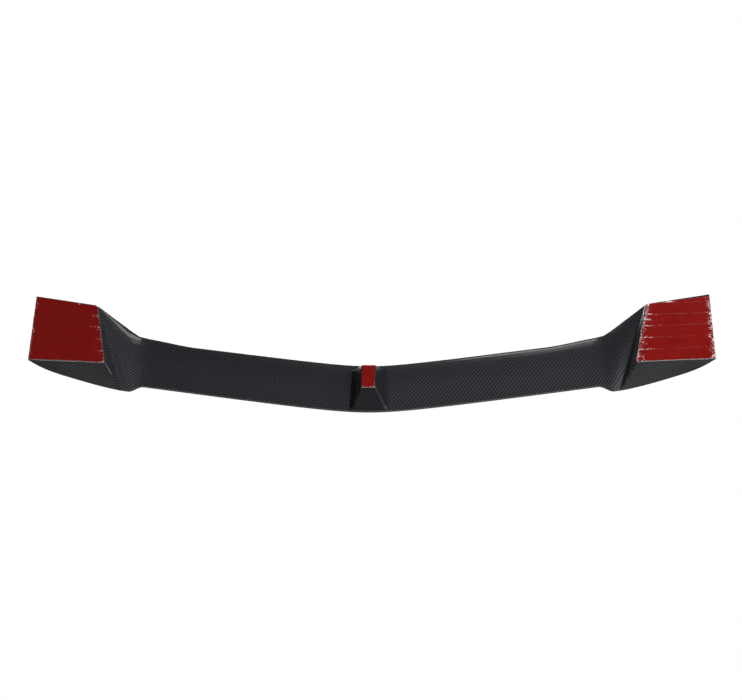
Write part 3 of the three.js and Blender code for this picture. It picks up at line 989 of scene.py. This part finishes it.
def strip_grid(number, along, across, cut, inset=0.0):
    """Places on a foot's face of a strip's grid, as distances along its rear edge and ahead of it.

    The strip lies between two lines square to the edge's direction, and the slanted front edge cuts
    it. It runs from the inner to the outer edge of the face, less a margin. The places along and ahead
    depend on each other, so they are worked out three times over. The strip's ends are moved and tilted
    as it was cut, and their corners are worn round.
    """
    rear = TAPE_MARGIN + number * PITCH + inset
    front_slope = (FRONT_OUT_AT[1] - FRONT_IN_AT[1]) / (FRONT_OUT_AT[0] - FRONT_IN_AT[0])

    def front_line(u):
        reach = (u - FRONT_IN_AT[0]) / (FRONT_OUT_AT[0] - FRONT_IN_AT[0])
        return FRONT_IN_AT[1] + front_slope * (u - FRONT_IN_AT[0]) - TAPE_MARGIN - cut["front"] * reach

    begin, width = 0.0, TAPE_WIDTH
    if number == WHOLE_STRIPS:
        begin = FRONT_IN_AT[0] + (rear + TAPER_WIDTH - front_line(FRONT_IN_AT[0])) / front_slope
        width = PITCH
    v = np.broadcast_to(rear + TAPE_WIDTH * across, np.broadcast_shapes(along.shape, across.shape))
    for _ in range(3):
        inner = np.maximum(v * FRONT_IN_AT[0] / FRONT_IN_AT[1], begin) + TAPE_MARGIN
        outer = mix(REAR_OUT_AT[0], FRONT_OUT_AT[0], v / FRONT_OUT_AT[1]) - TAPE_MARGIN
        u = mix(inner + inset, outer - inset, along)
        front = np.minimum(rear + width - 2 * inset, front_line(u) - inset)
        v = rear + (front - rear) * across
    worn = np.exp(-across / WORN_SPREAD) + np.exp(-(1 - across) / WORN_SPREAD)
    start = cut["start"] + cut["tilt"][0] * (across - 0.5) + cut["worn"][0] * worn
    stop = cut["stop"] + cut["tilt"][1] * (across - 0.5) + cut["worn"][1] * worn
    return u + mix(start, -stop, along), v


def cut_strip(random, wear, front):
    """How one strip was cut: its ends' places, tilts and worn corners."""
    return {
        "start": random.uniform(-0.0004, 0.0008),
        "stop": random.uniform(-0.0006, 0.0008),
        "tilt": random.uniform(-0.0012, 0.0012, 2),
        "worn": random.uniform(0.0004, 0.0012, 2) * wear,
        "front": front,
    }


def on_face(u, v, height, side):
    """Points of a foot's face from distances along its rear edge and ahead of it."""
    plan = REAR_IN + u[..., None] * RIGHT_OF + v[..., None] * AHEAD_OF
    return np.stack([side * plan[..., 0], plan[..., 1], np.broadcast_to(height, u.shape)], axis=-1)


def ridges(u, v, random, waves, lengths):
    """Creases from 0 to 1: one minus the size of a sum of sine waves of random direction and length."""
    total = np.zeros_like(u)
    for _ in range(waves):
        angle, phase = random.uniform(0, np.pi), random.uniform(0, 2 * np.pi)
        turns = 2 * np.pi / random.uniform(*lengths)
        total += np.sin(turns * (u * np.cos(angle) + v * np.sin(angle)) + phase)
    return np.clip(1 - np.abs(total) / np.sqrt(waves), 0, 1) ** 2


def film_relief(u, v, random, rough):
    """How far the film stands proud of the foam, and where it pales: off the glue and as painted glints.

    Creases gather at both ends and along the edges, the edges are drawn down, and a few low bubbles,
    each a Gaussian bump, lie between.
    """
    from_start, to_end = u - u.min(axis=0), u.max(axis=0) - u
    from_rear, to_front = v - v.min(axis=1, keepdims=True), v.max(axis=1, keepdims=True) - v
    near_end = np.exp(-from_start / END_REACHES[0]) + np.exp(-to_end / END_REACHES[1])
    near_end = np.clip(near_end, 0, 1)
    near_edge = np.exp(-from_rear / EDGE_REACH) + np.exp(-to_front / EDGE_REACH)
    rim = np.exp(-from_start / RIM_REACHES[0]) + np.exp(-to_end / RIM_REACHES[1])
    fine = ridges(u, v, random, 4, (0.005, 0.012))
    along_edge = ridges(u, v, random, 4, (0.006, 0.014))
    patch = ridges(u, v, random, 3, (0.02, 0.05))
    swell = ridges(u, v, random, 4, (0.02, 0.06))
    height = CREASE_HEIGHT * fine * near_end + EDGE_CREASE_HEIGHT * along_edge * near_edge
    height = rough * (height + SWELL_HEIGHT * swell) - EDGE_SINK * near_edge
    for _ in range(5):
        at_u, at_v = random.uniform(u.min(), u.max()), random.uniform(v.min(), v.max())
        spread = random.uniform(0.002, 0.005)
        away = (u - at_u) ** 2 / 4 + (v - at_v) ** 2
        height += BUBBLE_HEIGHT * np.exp(-away / spread**2)
    # The pale mask: film come off the glue at creases, edges and ends, and a painted highlight of their
    # glints.
    creased = fine * near_end**0.6 * (0.45 + 0.55 * patch)
    edged = along_edge * near_edge * np.exp(-from_start / 0.04)
    ended = rim * ridges(u, v, random, 4, (0.006, 0.02))
    lifted = ease(0.3, 0.55, rough * (creased + 0.8 * edged) + 0.45 * ended)
    return height, lifted


def mark_lifted(film, lifted):
    """Keep on the outer points how far the film came away or shows a painted glint. The inner face's
    follow them.
    """
    values = np.concatenate([lifted.ravel(), np.zeros(lifted.size)])
    layer = film.data.attributes.new("lifted", "FLOAT", "POINT")
    layer.data.foreach_set("value", values.astype(np.float32))


def make_strip(side, prefix, number, random, foot):
    """One strip of a foot: its film, a little larger than the foam, and the foam."""
    cut = cut_strip(random, foot["wear"], foot["front"])
    along = np.linspace(0, 1, 170)[:, None]
    across = np.linspace(0, 1, 36)[None, :]
    u, v = strip_grid(number, along, across, cut, -FILM_OVERHANG)
    height, lifted = film_relief(u, v, random, foot["rough"])
    film = shell(
        f"{prefix}_liner_film_{number + 1}",
        on_face(u, v, -height, side),
        on_face(u, v, TAPE_BOTTOM, side),
        liner,
        bevel=0.00004,
    )
    mark_lifted(film, lifted)
    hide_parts(f"{prefix}_pad_liner_{number + 1}")
    u, v = strip_grid(number, np.linspace(0, 1, 40)[:, None], across[:, ::5], cut, FOAM_INSET)
    foam = shell(
        f"{prefix}_tape_foam_{number + 1}",
        on_face(u, v, TAPE_BOTTOM, side),
        on_face(u, v, FACE, side),
        tape_foam,
        bevel=0.0001,
    )
    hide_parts(f"{prefix}_pad_tape_{number + 1}")


# The right foot's films lie smoother, and its strips' corners are more worn.
FEET = {
    "right": {"rough": 0.65, "wear": 2.2, "front": 0.0008, "seed": 7},
    "left": {"rough": 1.15, "wear": 0.6, "front": 0.0034, "seed": 11},
}
for prefix, foot in FEET.items():
    random = np.random.default_rng(foot["seed"])
    for number in range(WHOLE_STRIPS + 1):
        make_strip(1.0 if prefix == "right" else -1.0, prefix, number, random, foot)


# %% The post's strip
def make_post_strip():
    """A plain rectangle of foam and film, with the same relief as the others."""
    width, length = TAPE_WIDTH, POST_FACE[1] - 2 * TAPE_MARGIN
    random = np.random.default_rng(5)
    v, u = np.meshgrid(np.linspace(-0.5, 0.5, 34) * width, np.linspace(-0.5, 0.5, 80) * length)
    height, lifted = film_relief(u, v, random, 0.5)
    plan = np.stack([v, u], axis=-1)

    def level(z):
        return np.concatenate([plan, np.broadcast_to(z, u.shape)[..., None]], axis=-1)

    film = shell("post_liner_film", level(-height), level(TAPE_BOTTOM), liner, bevel=0.00004)
    foam = shell("post_tape_foam", level(TAPE_BOTTOM), level(FACE), tape_foam, bevel=0.0001)
    mark_lifted(film, lifted)
    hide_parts("post_liner")
    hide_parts("post_tape")


make_post_strip()

# %% [markdown]
# ## What stays from the frame
#
# The base plates and the foam blocks inside the feet have their right shapes already, so they keep
# their meshes. The plates take the resin's finish, and the blocks the foam's.

# %% Finishes on the frame's own pieces
for node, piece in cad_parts.items():
    if node.endswith("_foot_core"):
        piece.data.materials[0] = core_foam
        print(node, "in foam")
    if node.endswith("_base_plate"):
        piece.data.materials[0] = resin
        print(node, "in resin")

# %% [markdown]
# ## Floor
#
# The floor is a pale sheet that shows from above only. From below it lets everything through, and it
# casts no shadow on the faces above it, so the underside can be lit and seen.


# %% Floor
FLOOR_REACH, FLOOR_GAP = 60.0, 0.0002


def make_floor():
    """A wide sheet just under the liners. Seen from above it glows a little, so it stays pale."""
    tree = Tree("floor")
    facing = tree.value("NewGeometry", "Backfacing")
    pale = tree.node("BsdfDiffuse", None, Color=(0.3, 0.3, 0.298, 1))
    glow = tree.node("Emission", None, Color=(0.68, 0.68, 0.675, 1))
    top = tree.node("AddShader")
    clear = tree.node("BsdfTransparent")
    choose = tree.node("MixShader", None, Fac=facing)
    output = tree.node("OutputMaterial")
    for start, end in (
        (pale.outputs[0], top.inputs[0]),
        (glow.outputs[0], top.inputs[1]),
        (top.outputs[0], choose.inputs[1]),
        (clear.outputs[0], choose.inputs[2]),
        (choose.outputs[0], output.inputs["Surface"]),
    ):
        tree.links.new(start, end)
    reach, low = FLOOR_REACH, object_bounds()[0][2] - FLOOR_GAP
    corners = [(-reach, -reach, low), (reach, -reach, low), (reach, reach, low), (-reach, reach, low)]
    mesh = bpy.data.meshes.new("floor")
    mesh.from_pydata(corners, [], [(0, 1, 2, 3)])
    mesh.materials.append(tree.material)
    floor = bpy.data.objects.new("floor", mesh)
    scene.collection.objects.link(floor)
    floor.visible_diffuse = False
    floor.visible_glossy = False
    floor.visible_shadow = False
    print("floor at", low)


make_floor()
